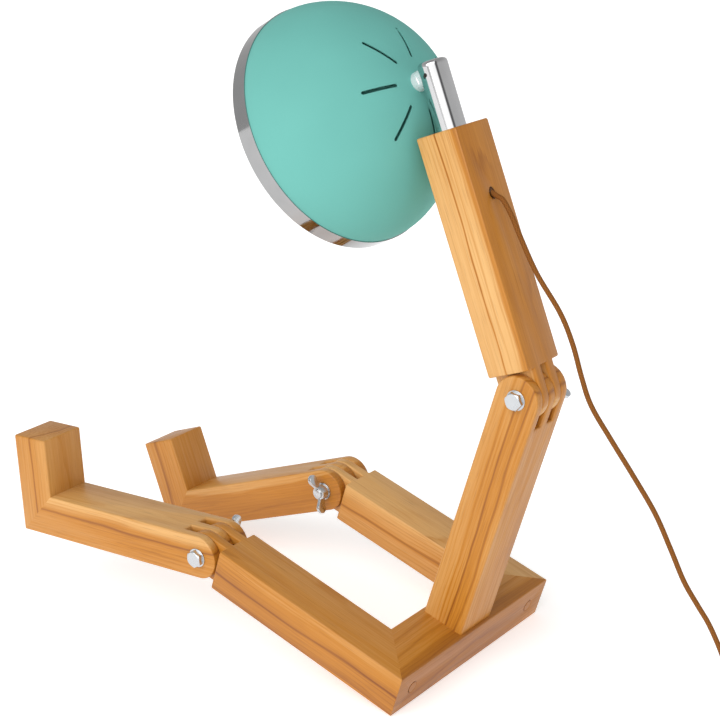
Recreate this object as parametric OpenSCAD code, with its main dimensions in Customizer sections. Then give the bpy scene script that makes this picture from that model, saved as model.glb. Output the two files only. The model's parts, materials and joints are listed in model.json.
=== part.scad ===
// Seated floor lamp made of jointed wooden bars, with a dome shade on a swivel.
// Millimetres, Z up. The origin is on the floor, under the middle of the lamp.
// The lamp faces -Y and its left side is +X.

/* [Bars] */
// Width of every wooden bar, measured along the hinge bolts
bar_w = 56; // [50:1:64]
// Height of every wooden bar
bar_h = 48; // [44:1:54]
// Length of the hip crossbar from side to side
hip_len = 274; // [250:1:320]
// Distance from the back of the hips to the knee bolts
knee_reach = 271; // [230:1:320]
// Distance from a knee bolt to the sole of the foot
shin_len = 268; // [220:1:310]
// Length of a foot from heel to toe
foot_len = 115; // [90:1:150]
// Height of the waist bolt above the crossbar
waist_len = 277; // [230:1:320]
// Distance from the waist bolt to the top of the torso
torso_len = 266; // [240:1:320]

/* [Pose] */
// Downward bend of the left knee
knee_left_bend = 20.5; // [0:0.5:38]
// Downward bend of the right knee
knee_right_bend = 38; // [24:0.5:48]
// Forward bend of the waist
waist_bend = 38.5; // [24:0.5:44]
// Downward nod of the shade, from square to the torso
shade_nod = 7.5; // [4:0.5:14]
// Turn of the neck tube in the torso
neck_turn = -4; // [-10:1:10]

/* [Hinges] */
// Side gap between neighbouring hinge fingers
side_gap = 0.3; // [0.2:0.05:0.6]
// Gap between a round finger end and the shoulder it faces
end_gap = 1.5; // [1:0.1:4]
// Diameter of the hinge bolts
bolt_d = 10; // [8:0.5:12]
// Radial gap of a bolt or pin in its hole
run_gap = 0.05; // [0.02:0.01:0.1]
// Size of the bolt heads across the flats
head_af = 17; // [14:0.5:19]
// Height of the bolt heads
head_h = 7; // [5:0.1:8]
// Diameter of the washers under the wing nuts
washer_d = 20; // [17:0.5:24]
// Thickness of the washers under the wing nuts
washer_t = 2; // [1:0.1:3]
// Flat gap between a wing nut and its washer
turn_gap = 0.1; // [0.05:0.05:0.5]
// Diameter of a wing nut's hub at its base
hub_d = 18; // [16:0.5:20]
// Height of a wing nut's hub
hub_h = 9; // [7:0.5:12]
// Span of a wing nut over both wings
wing_span = 46; // [36:1:50]
// Radius of a wing's round tip
wing_tip_r = 6; // [5:0.5:7]
// Thickness of a wing
wing_t = 4; // [3:0.5:5]
// Length of bolt that shows past a wing nut
bolt_end = 2; // [1:0.5:5]
// Turn of the waist wing nut
waist_nut_turn = 33; // [0:1:90]
// Turn of the left knee's wing nut
left_nut_turn = 10; // [-90:1:90]
// Turn of the right knee's wing nut
right_nut_turn = 0; // [-90:1:90]

/* [Wood fixings] */
// Radial gap of a fixed peg, screw or tube in its hole
peg_gap = 0.05; // [0.02:0.01:0.1]
// Diameter of the plugs over the hip screws
plug_cap_d = 12; // [10:0.5:16]
// Length of the plugs over the hip screws
plug_cap_len = 10; // [6:1:12]
// Diameter of the hip screws
screw_d = 5; // [4:0.5:6]
// Diameter of the hip screw heads
screw_head_d = 10; // [8:0.5:10]
// Height of the hip screw heads
screw_head_h = 4; // [3:0.5:5]
// Length of the hip screws under the head
screw_len = 70; // [50:1:90]
// Diameter of the waist dowels
dowel_d = 10; // [8:1:12]
// Length of the waist dowels
dowel_len = 50; // [30:1:60]
// Distance of the waist dowels from the middle
dowel_x = 14; // [10:1:18]
// Diameter of the foot dowels
foot_dowel_d = 8; // [6:1:10]
// Length of the foot dowels
foot_dowel_len = 28; // [20:1:32]

/* [Neck and swivel] */
// Outer diameter of the neck tube
neck_d = 30; // [28:0.5:34]
// Wall of the neck tube
neck_wall = 1.5; // [1.2:0.1:2]
// Radius of the neck tube's top edge
neck_round = 5; // [3:0.5:6]
// Depth of the neck tube in the torso
neck_depth = 46; // [30:1:52]
// Height of the swivel pin above the torso
pin_rise = 55; // [46:1:70]
// Height of the neck tube above the swivel pin
neck_over = 12.5; // [12.5:0.5:16]
// Diameter of the swivel pin
pin_d = 4; // [3:0.5:6]
// Depth of the pin's ends below the tube's surface
pin_sunk = 0.6; // [0.4:0.1:1]
// Diameter of the swivel boss
boss_d = 20; // [18:0.5:20]
// Side gap between the boss and the tube's slot
slot_gap = 0.4; // [0.3:0.1:1]
// Width of the boss between its two flats
boss_flat = 18; // [15:0.5:18]
// Side gap between the flats and the spacers
spacer_gap = 0.2; // [0.1:0.05:0.4]
// Diameter of the swivel spacers
spacer_d = 9; // [7:0.5:10]

/* [Shade] */
// Outer radius of the shade where the dome meets the rim band
rim_r = 125; // [118:1:132]
// Depth of the dome
dome_h = 111; // [106:1:116]
// Radius of the dome's shoulder in profile
shoulder_r = 70.5; // [62:0.5:90]
// Wall of the shade
shade_wall = 1.2; // [0.8:0.1:2]
// Gap between the dome and the torso's front edge
dome_gap = 2.6; // [1.5:0.1:8]
// Number of vent slots
vent_n = 7; // [5:1:9]
// Distance of the inner end of a vent slot from the shade's axis
vent_in = 27; // [20:1:32]
// Distance of the outer end of a vent slot from the shade's axis
vent_out = 64; // [45:1:75]
// Width of a vent slot
vent_w = 3.5; // [2:0.5:7]
// Turn of the vent slots about the shade's axis
vent_turn = 6; // [-25:0.5:25]
// Diameter of the light shield under the vent slots
shield_d = 150; // [140:1:160]
// Gap between the light shield's edge and the dome
shield_gap = 10; // [6:0.5:16]
// Wall of the light shield
shield_wall = 0.8; // [0.6:0.1:1.2]
// Height of the rim band
ring_h = 19; // [12:1:26]
// Step by which the rim band stands out from the dome
ring_step = 1; // [0.5:0.1:2]
// Wall of the rim band
ring_wall = 2.4; // [2:0.1:4]
// Radius of the rim band's outer edge
ring_round = 1.5; // [0.5:0.1:1.8]

/* [Lamp holder and bulb] */
// Diameter of the threaded nipple
nipple_d = 10; // [9:0.5:12]
// Bore of the threaded nipple
nipple_bore = 7; // [5:0.5:8]
// Depth of the nipple in the boss
nipple_in = 12; // [8:0.5:13]
// Size of the shade nut across the flats
nut_af = 15; // [13:0.5:18]
// Thickness of the shade nut
nut_t = 5; // [3:0.5:6]
// Diameter of the lamp holder
holder_d = 38; // [34:1:44]
// Length of the lamp holder
holder_len = 43; // [38:1:50]
// Depth of the lamp holder's socket
socket_depth = 24; // [18:1:26]
// Diameter of the bulb's screw cap
cap_d = 26; // [24:0.5:27]
// Length of the bulb's screw cap
cap_len = 25; // [25:1:28]
// Diameter of the bulb
bulb_d = 45; // [40:1:50]
// Distance from the cap to the middle of the bulb
bulb_reach = 22; // [18:1:26]
// Wall of the bulb's glass
glass_wall = 0.8; // [0.6:0.1:1.2]

/* [Cord and plug] */
// Diameter of the cord
cord_d = 5; // [4.5:0.1:5.4]
// Distance from the waist bolt to the cord hole in the torso's back
cord_hole_h = 196; // [180:1:198]
// Slope of the cord hole, downwards from square to the torso's back
cord_slope = 45; // [40:1:50]
// Outer diameter of the bush in the cord hole
bush_d = 8; // [7.5:0.1:9]
// Length of the bush along its axis
bush_len = 14; // [10:1:16]
// Radial gap of the cord in the bush
bush_gap = 0.3; // [0.25:0.05:0.5]
// Straight length of cord past the hole
cord_out = 6; // [5:0.5:10]
// Inner bend radius of the cord in the torso
cord_bend = 25; // [20:1:27]
// Smallest radius of the cord coil
coil_in_r = 19; // [18:0.5:22]
// Distance between neighbouring loops of the coil
coil_pitch = 5.5; // [5.5:0.1:6]
// Thickness of the tie around the coil
tie_t = 0.8; // [0.6:0.1:1.2]
// Width of the tie around the coil
tie_w = 6; // [4:0.5:8]
// Gap between the tie and the coil
tie_gap = 0.4; // [0.4:0.1:1]
// Length of the plug's tapered sleeve
sleeve_len = 24; // [20:1:40]
// Diameter of the plug's tapered sleeve at the plug
sleeve_d = 13; // [11:0.5:16]
// Length of the plug's body
plug_len = 34; // [30:1:40]
// Width of the plug's body
plug_w = 30; // [28:1:34]
// Diameter of the plug's pins
plug_pin_d = 4; // [3.5:0.1:4.8]
// Length of the plug's pins
plug_pin_len = 19; // [15:1:21]
// Distance between the plug's pins
plug_pin_gap = 19; // [16:1:20]

/* [Hidden] */
$fn = 96;
wood_c = [0.80, 0.57, 0.33];
dark_wood_c = [0.70, 0.46, 0.25];
chrome_c = [0.80, 0.81, 0.83];
steel_c = [0.70, 0.72, 0.74];
shade_c = [0.42, 0.74, 0.69];
white_c = [0.93, 0.92, 0.88];
dark_c = [0.17, 0.13, 0.10];
cord_c = [0.48, 0.32, 0.18];
brass_c = [0.78, 0.66, 0.38];

half_h = bar_h / 2;
half_w = bar_w / 2;
finger_t = (bar_w - 4 * side_gap) / 5;
shoulder = half_h + end_gap;
leg_x = hip_len / 2 - half_w;
bolt_r = bolt_d / 2;

// Pose of the whole lamp: it rests on the hips' rear edge and the lower heel
function leg_point(bend, along, up) = [
    -knee_reach - along * cos(bend) - up * sin(bend),
    half_h - along * sin(bend) + up * cos(bend)
];
heel_left = leg_point(knee_left_bend, shin_len, -half_h);
heel_right = leg_point(knee_right_bend, shin_len, -half_h);
toe_left = leg_point(knee_left_bend, shin_len, foot_len - half_h);
toe_right = leg_point(knee_right_bend, shin_len, foot_len - half_h);
lean = max(atan2(-heel_left[1], -heel_left[0]), atan2(-heel_right[1], -heel_right[0]));
function floor_y(p) = p[0] * cos(lean) + p[1] * sin(lean);
front_y = min(floor_y(heel_left), floor_y(heel_right), floor_y(toe_left), floor_y(toe_right));
waist_at = [-half_w, bar_h + waist_len];
back_y = max(floor_y(waist_at) + half_h, floor_y([0, bar_h]));
shift_y = -(front_y + back_y) / 2;

// Swivel and shade
neck_r = neck_d / 2;
neck_in_r = neck_r - neck_wall;
neck_low = torso_len - neck_depth;
pin_h = torso_len + pin_rise;
neck_len = neck_depth + pin_rise + neck_over;
boss_r = boss_d / 2;
slot_low = 14.5;
slot_back = 3;
spacer_end = sqrt(neck_in_r * neck_in_r - spacer_d * spacer_d / 4) - 0.1;
crown_r = (rim_r * rim_r + dome_h * dome_h - 2 * rim_r * shoulder_r) / (2 * (dome_h - shoulder_r));
// Reach of the torso's front top edge into the dome's crown, at a point x along that edge
function edge_reach(x) = let(
    front = half_h * cos(neck_turn) + x * sin(neck_turn),
    side = x * cos(neck_turn) - half_h * sin(neck_turn),
    off = norm([side, pin_rise * cos(shade_nod) - front * sin(shade_nod)])
) front * cos(shade_nod) + pin_rise * sin(shade_nod) - crown_r + sqrt(crown_r * crown_r - off * off);
apex = max(max([for (i = [-4 : 4]) edge_reach(half_w * i / 4)]) + dome_gap, neck_r + 8);
seat = crown_r - sqrt(crown_r * crown_r - boss_r * boss_r);
boss_len = apex + seat;
skirt = apex + dome_h;
nut_r = nut_af / 2 / cos(30);
inner_r = crown_r - shade_wall;
nut_at = apex + shade_wall + inner_r - sqrt(inner_r * inner_r - nut_r * nut_r);
shield_at = nut_at + nut_t;
shield_r = shield_d / 2;
shield_flat_r = max(holder_d / 2 - 6, nut_r) + 2;
shield_edge = apex + shade_wall + inner_r - sqrt(inner_r * inner_r - shield_r * shield_r) + shield_gap;
holder_at = shield_at + shield_wall;
nipple_end = holder_at + 11;
socket_at = holder_at + holder_len - socket_depth;
bulb_at = socket_at + cap_len + bulb_reach;

// Cord: hole, free route, coil and plug
cord_r = cord_d / 2;
hole_dir = [0, cos(cord_slope), -sin(cord_slope)];
hole_at = [0, half_h, cord_hole_h];
bend_at = hole_at - bush_len * hole_dir;
bend_mid = bend_at + cord_bend * [0, sin(cord_slope), cos(cord_slope)];
cord_inner_top = pin_h - boss_r - 8;
function turn_x(p, a) = [p[0], p[1] * cos(a) - p[2] * sin(a), p[1] * sin(a) + p[2] * cos(a)];
function from_torso(p) = turn_x([0, waist_at[0], waist_at[1]] + turn_x(p, waist_bend), -lean) + [0, shift_y, 0];
cord_start = from_torso(hole_at + cord_out * hole_dir);
cord_dir = turn_x(hole_dir, waist_bend - lean);
coil_low = cord_r + tie_t + tie_gap;
coil_high = coil_low + coil_pitch;
coil_turns = 7.25;
coil_mid = 3.75;
coil_out_r = coil_in_r + coil_pitch * coil_mid;
coil_end_r = coil_in_r + coil_pitch * (coil_turns - coil_mid);
coil_y = 575;
coil_at = [-coil_out_r, coil_y];
lead_len = 22;

// Route of the free cord behind the lamp, as Y and Z on the plane X = 0
route = [
    [271, 490], [281, 470], [299, 437], [325, 402], [339, 373],
    [349, 342], [360, 315], [382, 285], [406, 254], [430, 221],
    [447, 189], [462, 159], [477, 138], [489, 122], [500, 102],
    [510, 80], [520, 58], [531, 37], [544, 19], [557, 8]
];
free_points = concat(
    [cord_start, cord_start + 7 * cord_dir],
    [for (p = route) [0, p[0], p[1]]],
    [[0, coil_y - cord_d, coil_low]]
);

// Smooth curve through the points, with a ring at each point and between points
function bow(a, b, c, d, t) = 0.5 * (2 * b + (c - a) * t + (2 * a - 5 * b + 4 * c - d) * t * t
    + (3 * b - a - 3 * c + d) * t * t * t);
function clip(i, n) = max(0, min(n, i));
function smooth(p, k) = [
    for (i = [0 : len(p) - 2], j = [0 : k - 1])
        bow(p[clip(i - 1, len(p) - 1)], p[i], p[i + 1], p[clip(i + 2, len(p) - 1)], j / k),
    p[len(p) - 1]
];
function unit(v) = v / norm(v);
free_mid = smooth(free_points, 3);
free_n = len(free_mid);
function free_way(i) =
    i == 0 ? cord_dir : i == free_n - 1 ? [0, 1, 0] : unit(free_mid[i + 1] - free_mid[i - 1]);

// Coil: it winds inwards on the floor, climbs a layer where it reverses, and winds outwards
function ease(t) = t <= 0 ? 0 : t >= 1 ? 1 : t * t * (3 - 2 * t);
function coil_r(t) = coil_in_r + coil_pitch * abs(t - coil_mid);
function coil_z(t) = coil_low + coil_pitch * ease(2 * (t - coil_mid) + 0.5);
function coil_point(t) = [
    coil_at[0] + coil_r(t) * cos(360 * t), coil_at[1] + coil_r(t) * sin(360 * t), coil_z(t)
];
coil_n = coil_turns * 24;
coil_start = [0, coil_y - cord_d, coil_low];
coil_stop = [coil_at[0] - lead_len, coil_at[1] + coil_end_r, coil_high];
coil_mid_line = concat([coil_start], [for (i = [0 : coil_n]) coil_point(i / 24)], [coil_stop]);
function coil_side(i) =
    i == 0 ? [1, 0, 0] : i > coil_n ? [0, 1, 0] : [cos(15 * (i - 1)), sin(15 * (i - 1)), 0];
coil_gap = min([
    for (i = [0 : coil_n - 13], j = [i + 13 : coil_n])
        norm(coil_mid_line[i + 1] - coil_mid_line[j + 1]) - cord_d
]);
function total(v, i = 0) = i >= len(v) ? 0 : v[i] + total(v, i + 1);
function line_len(p) = total([for (i = [1 : len(p) - 1]) norm(p[i] - p[i - 1])]);
echo(lean = lean, shift_y = shift_y, apex = apex, crown_r = crown_r);
echo(coil_gap = coil_gap, free_len = line_len(free_mid), coil_len = line_len(coil_mid_line));

// Frames
module at_hips() translate([0, shift_y, 0]) rotate([-lean, 0, 0]) children();

module at_knee_left() {
    at_hips() translate([leg_x, -knee_reach, half_h]) rotate([knee_left_bend, 0, 0]) children();
}

module at_knee_right() {
    at_hips() mirror([1, 0, 0]) translate([leg_x, -knee_reach, half_h]) rotate([knee_right_bend, 0, 0]) children();
}

module at_waist() {
    at_hips() translate([0, waist_at[0], waist_at[1]]) rotate([waist_bend, 0, 0]) children();
}

module at_neck() at_waist() rotate([0, 0, neck_turn]) children();

module at_swivel() at_neck() translate([0, 0, pin_h]) rotate([shade_nod, 0, 0]) children();

module along_shade() at_swivel() rotate([90, 0, 0]) children();

// Shared shapes
module side_on(w) rotate([90, 0, 90]) linear_extrude(height = w, center = true) children();

module along_x(r, x0, x1) translate([x0, 0, 0]) rotate([0, 90, 0]) cylinder(r = r, h = x1 - x0);

module bolt_hole() along_x(bolt_r + run_gap, -half_w - 1, half_w + 1);

// Room for hinge layer i of five, reaching from low to high along the bar
module layer_room(i, low, high) {
    x0 = i == 0 ? -half_w - 1 : -half_w + i * (finger_t + side_gap) - side_gap;
    x1 = i == 4 ? half_w + 1 : -half_w + i * (finger_t + side_gap) + finger_t + side_gap;
    translate([x0, low, -bar_h]) cube([x1 - x0, high - low, 2 * bar_h]);
}

module hinge_bolt() {
    tip = -half_w - washer_t - turn_gap - hub_h - bolt_end;
    along_x(bolt_r, tip, half_w);
    translate([half_w, 0, 0]) rotate([0, 90, 0]) intersection() {
        cylinder(r = head_af / 2 / cos(30), h = head_h, $fn = 6);
        cylinder(r1 = head_af * 0.47 + head_h * 1.7, r2 = head_af * 0.47, h = head_h);
    }
}

module hinge_washer() {
    difference() {
        along_x(washer_d / 2, -half_w - washer_t, -half_w);
        along_x(bolt_r + run_gap, -half_w - washer_t - 1, -half_w + 1);
    }
}

module wing() {
    mid_x = wing_span / 2 - wing_tip_r;
    mid_z = hub_h + 2;
    lean_r = wing_tip_r * sin(45);
    rotate([90, 0, 0]) linear_extrude(height = wing_t, center = true) union() {
        translate([mid_x, mid_z]) circle(r = wing_tip_r);
        polygon([
            [4, 1], [mid_x + lean_r, mid_z - lean_r], [mid_x - lean_r, mid_z + lean_r], [4, hub_h - 1]
        ]);
    }
}

module hinge_wing_nut() {
    translate([-half_w - washer_t - turn_gap, 0, 0]) rotate([0, -90, 0]) difference() {
        union() {
            cylinder(r1 = hub_d / 2, r2 = hub_d / 2 - 1.5, h = hub_h);
            wing();
            mirror([1, 0, 0]) wing();
        }
        translate([0, 0, -1]) cylinder(r = bolt_r + run_gap, h = hub_h + 12);
    }
}

// Hips
module hip_crossbar() color(wood_c) at_hips() difference() {
    linear_extrude(height = bar_h) polygon([
        [-hip_len / 2, 0], [hip_len / 2, 0], [hip_len / 2 - bar_w, -bar_w], [bar_w - hip_len / 2, -bar_w]
    ]);
    for (x = [-leg_x, leg_x]) translate([x, 0, half_h]) rotate([90, 0, 0]) {
        translate([0, 0, -1]) cylinder(r = plug_cap_d / 2 + peg_gap, h = plug_cap_len + screw_head_h + 1);
        cylinder(r = screw_d / 2 + peg_gap, h = bar_w);
    }
    for (x = [-dowel_x, dowel_x]) {
        translate([x, -half_w, bar_h - dowel_len / 2]) cylinder(r = dowel_d / 2 + peg_gap, h = dowel_len);
    }
}

module thigh() at_hips() difference() {
    translate([leg_x, -knee_reach, half_h]) difference() {
        side_on(bar_w) union() {
            translate([0, -half_h]) square([knee_reach, bar_h]);
            circle(r = half_h);
        }
        for (i = [0, 2, 4]) layer_room(i, -bar_h, shoulder);
        bolt_hole();
    }
    translate([0, 0, -1]) linear_extrude(height = bar_h + 2) polygon([
        [hip_len / 2 + 1, 1], [hip_len / 2 - bar_w - 1, -bar_w - 1], [hip_len / 2 - bar_w - 1, 1]
    ]);
    translate([leg_x, 0, half_h]) rotate([90, 0, 0])
        cylinder(r = screw_d / 2 + peg_gap, h = plug_cap_len + screw_head_h + screw_len);
}

module thigh_left() color(wood_c) thigh();

module thigh_right() color(wood_c) mirror([1, 0, 0]) thigh();

module hip_screws() color(steel_c) at_hips() {
    for (x = [-leg_x, leg_x]) translate([x, 0, half_h]) rotate([90, 0, 0]) translate([0, 0, plug_cap_len]) {
        cylinder(r = screw_head_d / 2, h = screw_head_h);
        cylinder(r = screw_d / 2, h = screw_head_h + screw_len);
    }
}

module hip_plugs() color(dark_wood_c) at_hips() {
    for (x = [-leg_x, leg_x]) translate([x, 0, half_h]) rotate([90, 0, 0]) cylinder(r = plug_cap_d / 2, h = plug_cap_len);
}

// Waist
module waist_bar() color(wood_c) at_hips() difference() {
    translate([0, waist_at[0], waist_at[1]]) difference() {
        side_on(bar_w) union() {
            translate([-half_h, -waist_len]) square([bar_h, waist_len]);
            circle(r = half_h);
        }
        for (i = [1, 3]) rotate([90, 0, 0]) layer_room(i, -shoulder, bar_h);
        bolt_hole();
    }
    for (x = [-dowel_x, dowel_x]) {
        translate([x, -half_w, bar_h - 1]) cylinder(r = dowel_d / 2 + peg_gap, h = dowel_len / 2 + 1);
    }
}

module waist_dowels() color(dark_wood_c) at_hips() {
    for (x = [-dowel_x, dowel_x]) {
        translate([x, -half_w, bar_h - dowel_len / 2]) cylinder(r = dowel_d / 2, h = dowel_len);
    }
}

module waist_bolt() color(steel_c) at_waist() hinge_bolt();

module waist_washer() color(steel_c) at_waist() hinge_washer();

module waist_wing_nut() color(steel_c) at_waist() rotate([waist_nut_turn, 0, 0]) hinge_wing_nut();

// Lower legs
module foot_pegs(gap) {
    for (x = [-dowel_x, dowel_x]) translate([x, half_h - shin_len, 0]) rotate([45, 0, 0])
        cylinder(r = foot_dowel_d / 2 + gap, h = foot_dowel_len, center = true);
}

module shin() difference() {
    side_on(bar_w) union() {
        polygon([[-shin_len, -half_h], [0, -half_h], [0, half_h], [bar_h - shin_len, half_h]]);
        circle(r = half_h);
    }
    for (i = [1, 3]) layer_room(i, -shoulder, bar_h);
    bolt_hole();
    foot_pegs(peg_gap);
}

module foot() difference() {
    side_on(bar_w) polygon([
        [-shin_len, -half_h], [bar_h - shin_len, half_h],
        [bar_h - shin_len, foot_len - half_h], [-shin_len, foot_len - half_h]
    ]);
    foot_pegs(peg_gap);
}

module shin_left() color(wood_c) at_knee_left() shin();

module foot_left() color(wood_c) at_knee_left() foot();

module foot_dowels_left() color(dark_wood_c) at_knee_left() foot_pegs(0);

module knee_bolt_left() color(steel_c) at_knee_left() hinge_bolt();

module knee_washer_left() color(steel_c) at_knee_left() hinge_washer();

module knee_wing_nut_left() color(steel_c) at_knee_left() rotate([left_nut_turn, 0, 0]) hinge_wing_nut();

module shin_right() color(wood_c) at_knee_right() shin();

module foot_right() color(wood_c) at_knee_right() foot();

module foot_dowels_right() color(dark_wood_c) at_knee_right() foot_pegs(0);

module knee_bolt_right() color(steel_c) at_knee_right() hinge_bolt();

module knee_washer_right() color(steel_c) at_knee_right() hinge_washer();

module knee_wing_nut_right() color(steel_c) at_knee_right() rotate([right_nut_turn, 0, 0]) hinge_wing_nut();

// Torso
module on_hole() translate(hole_at) rotate([90 - cord_slope, 0, 0]) children();

module torso() color(wood_c) at_waist() difference() {
    side_on(bar_w) union() {
        translate([-half_h, 0]) square([bar_h, torso_len]);
        circle(r = half_h);
    }
    for (i = [0, 2, 4]) rotate([90, 0, 0]) layer_room(i, -bar_h, shoulder);
    bolt_hole();
    translate([0, 0, neck_low]) cylinder(r = neck_r + peg_gap, h = neck_depth + 1);
    translate([0, 0, cord_hole_h + 4]) cylinder(r = neck_in_r - 1, h = neck_low - cord_hole_h);
    on_hole() translate([0, 0, -8]) cylinder(r = bush_d / 2 + peg_gap, h = half_h / cos(cord_slope) + 10);
}

module cord_bush() color(dark_c) at_waist() intersection() {
    on_hole() difference() {
        translate([0, 0, -8]) cylinder(r = bush_d / 2, h = bush_len + 8);
        translate([0, 0, -9]) cylinder(r = cord_r + bush_gap, h = bush_len + 10);
    }
    translate([-bar_w, -half_h, 0]) cube([2 * bar_w, bar_h, torso_len]);
}

module cord_inner() color(cord_c) at_waist() {
    turns = [for (i = [0 : 6]) (90 - cord_slope) * (6 - i) / 6];
    bend = [for (a = turns) bend_mid - cord_bend * [0, cos(a), sin(a)]];
    bend_way = [for (a = turns) [0, -sin(a), cos(a)]];
    mid = concat([hole_at + cord_out * hole_dir, hole_at], bend, [[0, bend[6][1], cord_inner_top]]);
    ways = concat([-hole_dir, -hole_dir], bend_way, [[0, 0, 1]]);
    tube(mid, [for (p = mid) [1, 0, 0]], ways, 10);
}

// Neck and swivel
module neck_outline(r, top, edge) union() {
    square([r, top - edge]);
    square([r - edge, top]);
    translate([r - edge, top - edge]) circle(r = edge);
}

module neck_tube() color(chrome_c) at_neck() difference() {
    translate([0, 0, neck_low]) rotate_extrude() difference() {
        neck_outline(neck_r, neck_len, neck_round);
        translate([0, -1]) neck_outline(neck_in_r, neck_len - neck_wall + 1, neck_round - neck_wall);
    }
    translate([-boss_r - slot_gap, -neck_d, pin_h - slot_low])
        cube([boss_d + 2 * slot_gap, neck_d + slot_back, slot_low + neck_over + 1]);
    translate([0, 0, pin_h]) along_x(pin_d / 2 + peg_gap, -neck_d, neck_d);
}

module swivel_pin() color(dark_c) at_neck() {
    translate([0, 0, pin_h]) along_x(pin_d / 2, pin_sunk - neck_r, neck_r - pin_sunk);
}

module swivel_spacers() color(steel_c) at_neck() translate([0, 0, pin_h]) difference() {
    union() {
        along_x(spacer_d / 2, boss_flat / 2 + spacer_gap, spacer_end);
        along_x(spacer_d / 2, -spacer_end, -boss_flat / 2 - spacer_gap);
    }
    along_x(pin_d / 2 + peg_gap, -neck_d, neck_d);
}

module swivel_boss() color(chrome_c) along_shade() difference() {
    rotate_extrude() intersection() {
        union() {
            circle(r = boss_r);
            square([boss_r, boss_len]);
        }
        translate([0, -boss_r - 1]) square([boss_r + 1, boss_len + boss_r + 1]);
    }
    for (x = [-boss_r - boss_flat / 2, boss_flat / 2]) {
        translate([x, -boss_r, -boss_r - 1]) cube([boss_r, boss_d, boss_r + neck_r + 2.5]);
    }
    along_x(pin_d / 2 + run_gap, -boss_d, boss_d);
    translate([0, 0, boss_len - nipple_in]) cylinder(r = nipple_d / 2 + peg_gap, h = nipple_in + 1);
}

// Shade: a crown arc and a shoulder arc that meet smoothly
module dome_outline(t) intersection() {
    translate([0, apex + crown_r]) circle(r = crown_r - t);
    union() {
        translate([rim_r - shoulder_r, skirt]) circle(r = shoulder_r - t);
        polygon([
            [0, apex - crown_r], [4 * (rim_r - shoulder_r), apex - crown_r],
            [4 * (rim_r - shoulder_r), apex + crown_r - 4 * (crown_r - dome_h)], [0, apex + crown_r]
        ]);
    }
    square([rim_r + 1, skirt]);
}

module vent() rotate([-90, 0, 0]) {
    translate([vent_in + vent_w / 2, -apex - dome_h / 2, -vent_w / 2])
        cube([vent_out - vent_in - vent_w, dome_h / 2 + 2, vent_w]);
    for (x = [vent_in + vent_w / 2, vent_out - vent_w / 2]) {
        translate([x, 2 - apex, 0]) rotate([90, 0, 0]) cylinder(r = vent_w / 2, h = dome_h / 2 + 2);
    }
}

module shade() color(shade_c) along_shade() difference() {
    rotate_extrude() difference() {
        dome_outline(0);
        dome_outline(shade_wall);
        square([rim_r, boss_len]);
        square([nipple_d / 2 + peg_gap, apex + 10]);
    }
    for (i = [0 : vent_n - 1]) rotate([0, 0, vent_turn + i * 360 / vent_n]) vent();
}

module rim_ring() color(chrome_c) along_shade() rotate_extrude() difference() {
    translate([rim_r + ring_step - ring_wall, skirt]) union() {
        square([ring_wall, ring_h - ring_round]);
        square([ring_wall - ring_round, ring_h]);
        translate([ring_wall - ring_round, ring_h - ring_round]) circle(r = ring_round);
    }
    translate([0, skirt]) square([rim_r + ring_step - ring_wall, ring_h + 1]);
}

module shade_nipple() color(steel_c) along_shade() difference() {
    translate([0, 0, boss_len - nipple_in]) cylinder(r = nipple_d / 2, h = nipple_end - boss_len + nipple_in);
    cylinder(r = nipple_bore / 2, h = nipple_end + 1);
}

module shade_nut() color(steel_c) along_shade() difference() {
    translate([0, 0, nut_at]) cylinder(r = nut_r, h = nut_t, $fn = 6);
    cylinder(r = nipple_d / 2 + peg_gap, h = holder_at + 1);
}

// Light shield: a thin cone clamped between the nut and the lamp holder
module vent_shield() color(shade_c) along_shade() rotate_extrude() polygon([
    [nipple_d / 2 + peg_gap, shield_at], [shield_flat_r, shield_at], [shield_r, shield_edge],
    [shield_r, shield_edge + shield_wall], [shield_flat_r, holder_at], [nipple_d / 2 + peg_gap, holder_at]
]);

// Lamp holder and bulb
module lamp_holder() color(white_c) along_shade() difference() {
    union() {
        translate([0, 0, holder_at]) cylinder(r1 = holder_d / 2 - 6, r2 = holder_d / 2, h = 8);
        translate([0, 0, holder_at + 8]) cylinder(r = holder_d / 2, h = holder_len - 8);
    }
    cylinder(r = nipple_d / 2 + peg_gap, h = nipple_end);
    translate([0, 0, socket_at]) cylinder(r = cap_d / 2 + 0.5, h = socket_depth + 1);
}

module bulb_cap() color(brass_c) along_shade() {
    translate([0, 0, socket_at]) cylinder(r1 = cap_d / 4, r2 = cap_d / 2, h = 5);
    translate([0, 0, socket_at + 5]) cylinder(r = cap_d / 2, h = cap_len - 5);
}

module bulb_outline(t) union() {
    translate([0, bulb_at]) circle(r = bulb_d / 2 - t);
    square([cap_d / 2 - 1 - t, bulb_at]);
}

module bulb_glass() color(white_c) along_shade() rotate_extrude() intersection() {
    difference() {
        bulb_outline(0);
        bulb_outline(glass_wall);
    }
    translate([0, socket_at + cap_len]) square([bulb_d, bulb_d + bulb_reach]);
}

// Cord
module tube(mid, side, way, sides) {
    n = len(mid);
    points = [
        for (i = [0 : n - 1], k = [0 : sides - 1])
            mid[i] + cord_r * (cos(360 * k / sides) * side[i] + sin(360 * k / sides) * cross(side[i], way[i]))
    ];
    walls = [
        for (i = [0 : n - 2], k = [0 : sides - 1])
            [i * sides + k, i * sides + (k + 1) % sides, (i + 1) * sides + (k + 1) % sides]
    ];
    walls2 = [
        for (i = [0 : n - 2], k = [0 : sides - 1])
            [i * sides + k, (i + 1) * sides + (k + 1) % sides, (i + 1) * sides + k]
    ];
    low_cap = [for (k = [1 : sides - 2]) [0, k + 1, k]];
    high_cap = [for (k = [1 : sides - 2]) [(n - 1) * sides, (n - 1) * sides + k, (n - 1) * sides + k + 1]];
    polyhedron(points = points, faces = concat(walls, walls2, low_cap, high_cap));
}

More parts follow.
